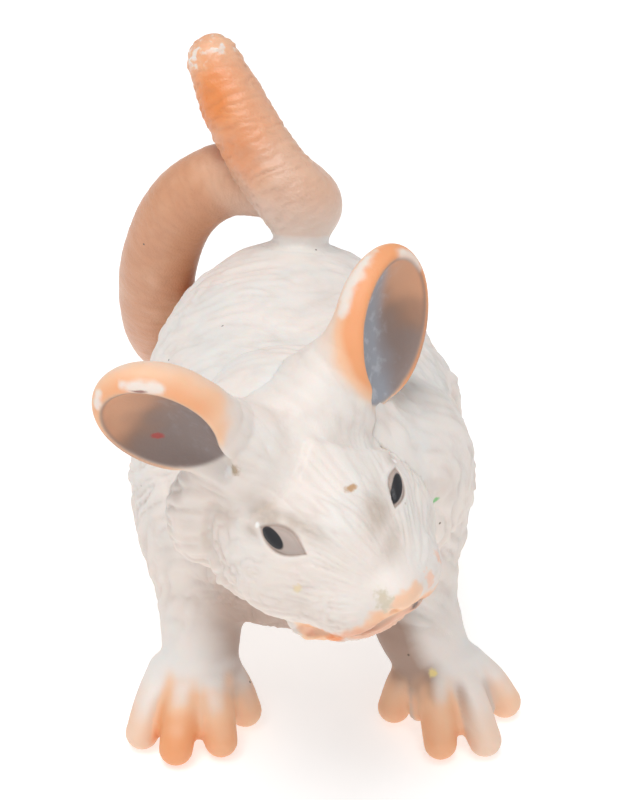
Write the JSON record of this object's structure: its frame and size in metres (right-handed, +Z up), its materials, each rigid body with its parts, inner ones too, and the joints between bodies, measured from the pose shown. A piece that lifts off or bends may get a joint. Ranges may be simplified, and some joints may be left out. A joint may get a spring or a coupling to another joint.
{
  "type": "toy mouse figure",
  "caption": "Small moulded vinyl figure of a white mouse standing on four legs, head turned aside and thick tail curled up over its back.",
  "frame": {"origin": "on the ground under the middle of the bounding box", "axes": "+Z up, +Y towards the rump, +X towards the mouse's left"},
  "size_m": [0.035, 0.0699, 0.0481],
  "materials": {
    "white_vinyl": "soft satin, sculpted fur, toes sprayed orange",
    "painted_white_vinyl": "soft satin, ears sprayed orange outside and grey inside",
    "orange_painted_vinyl": "wrinkled satin gloss, orange paint worn pale at the tip"
  },
  "bodies": {
    "root": {"torso_with_legs": "white_vinyl", "head_with_ears": "painted_white_vinyl", "tail": "orange_painted_vinyl"}
  },
  "joints": []
}
